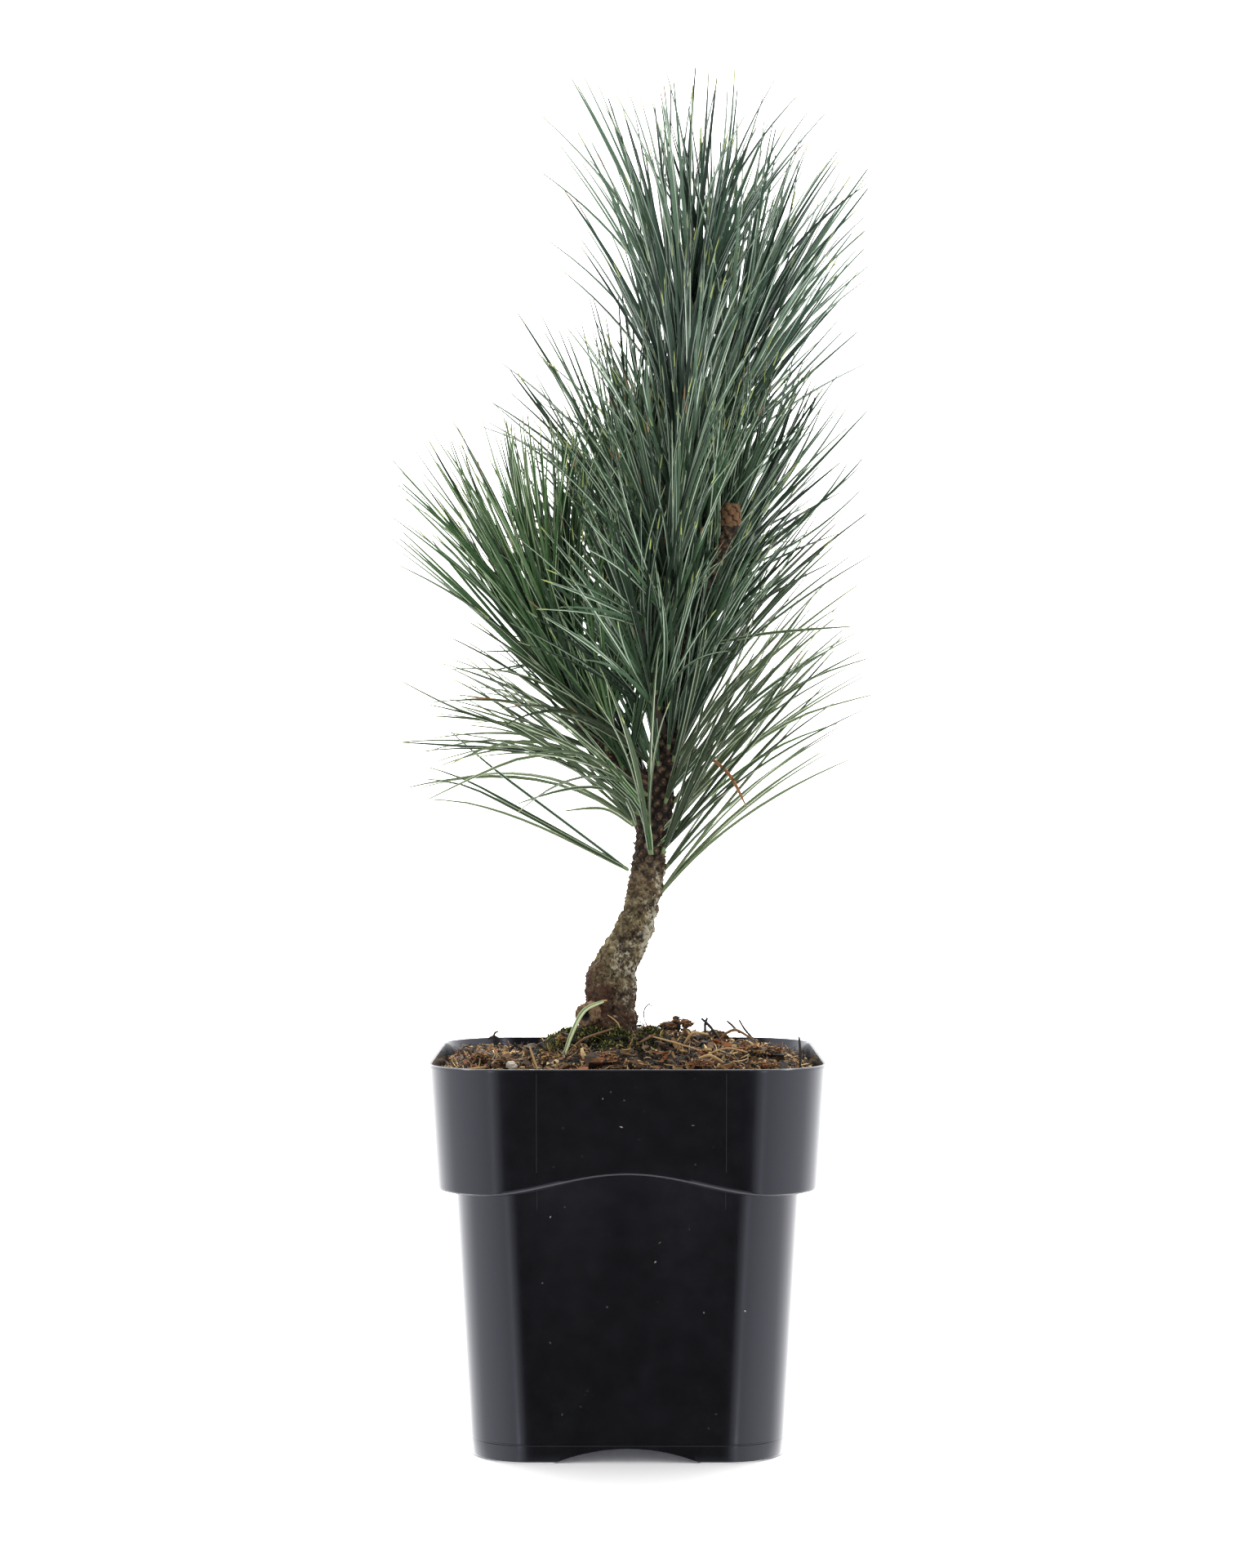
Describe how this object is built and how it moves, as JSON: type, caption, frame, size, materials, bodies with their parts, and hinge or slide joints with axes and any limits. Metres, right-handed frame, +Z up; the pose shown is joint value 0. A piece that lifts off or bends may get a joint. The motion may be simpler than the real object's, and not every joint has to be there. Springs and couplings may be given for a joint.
{
  "type": "potted glauca swiss stone pine",
  "caption": "Young blue Swiss stone pine with a leaning bare stem, in a black square plastic nursery pot topped with bark mulch.",
  "frame": {"origin": "middle of the round pad under the pot, on the level that the pot stands on", "axes": "+Z up along the plant's height, +X to the right and -Y to the front of the square pot, as the picture sees it"},
  "size_m": [0.1702, 0.1672, 0.4587],
  "materials": {
    "pot_plastic": "satin injection moulded polypropylene",
    "soil": "moist potting mix under bark mulch",
    "bark": "rough scaly bark with lichen",
    "needles": "waxy blue-green needles"
  },
  "bodies": {
    "root": {"fascicle_back_1": "needles", "fascicle_back_2": "needles", "fascicle_back_3": "needles", "fascicle_front_1": "needles", "fascicle_front_2": "needles", "fascicle_left_1": "needles", "fascicle_left_2": "needles", "fascicle_left_3": "needles", "fascicle_left_4": "needles", "fascicle_right_1": "needles", "fascicle_right_2": "needles", "fascicle_right_3": "needles", "fascicle_right_4": "needles", "fascicle_right_5": "needles", "fascicle_right_6": "needles", "fascicle_right_7": "needles", "left_bough": "bark", "needles_back_high": "needles", "needles_back_left": "needles", "needles_back_low": "needles", "needles_back_middle": "needles", "needles_front_high": "needles", "needles_front_low": "needles", "needles_front_middle": "needles", "needles_left": "needles", "needles_middle_left": "needles", "needles_right_low": "needles", "needles_right_middle": "needles", "needles_top": "needles", "needles_top_right": "needles", "pot": "pot_plastic", "right_bough": "bark", "soil": "soil", "trunk": "bark"}
  },
  "joints": []
}
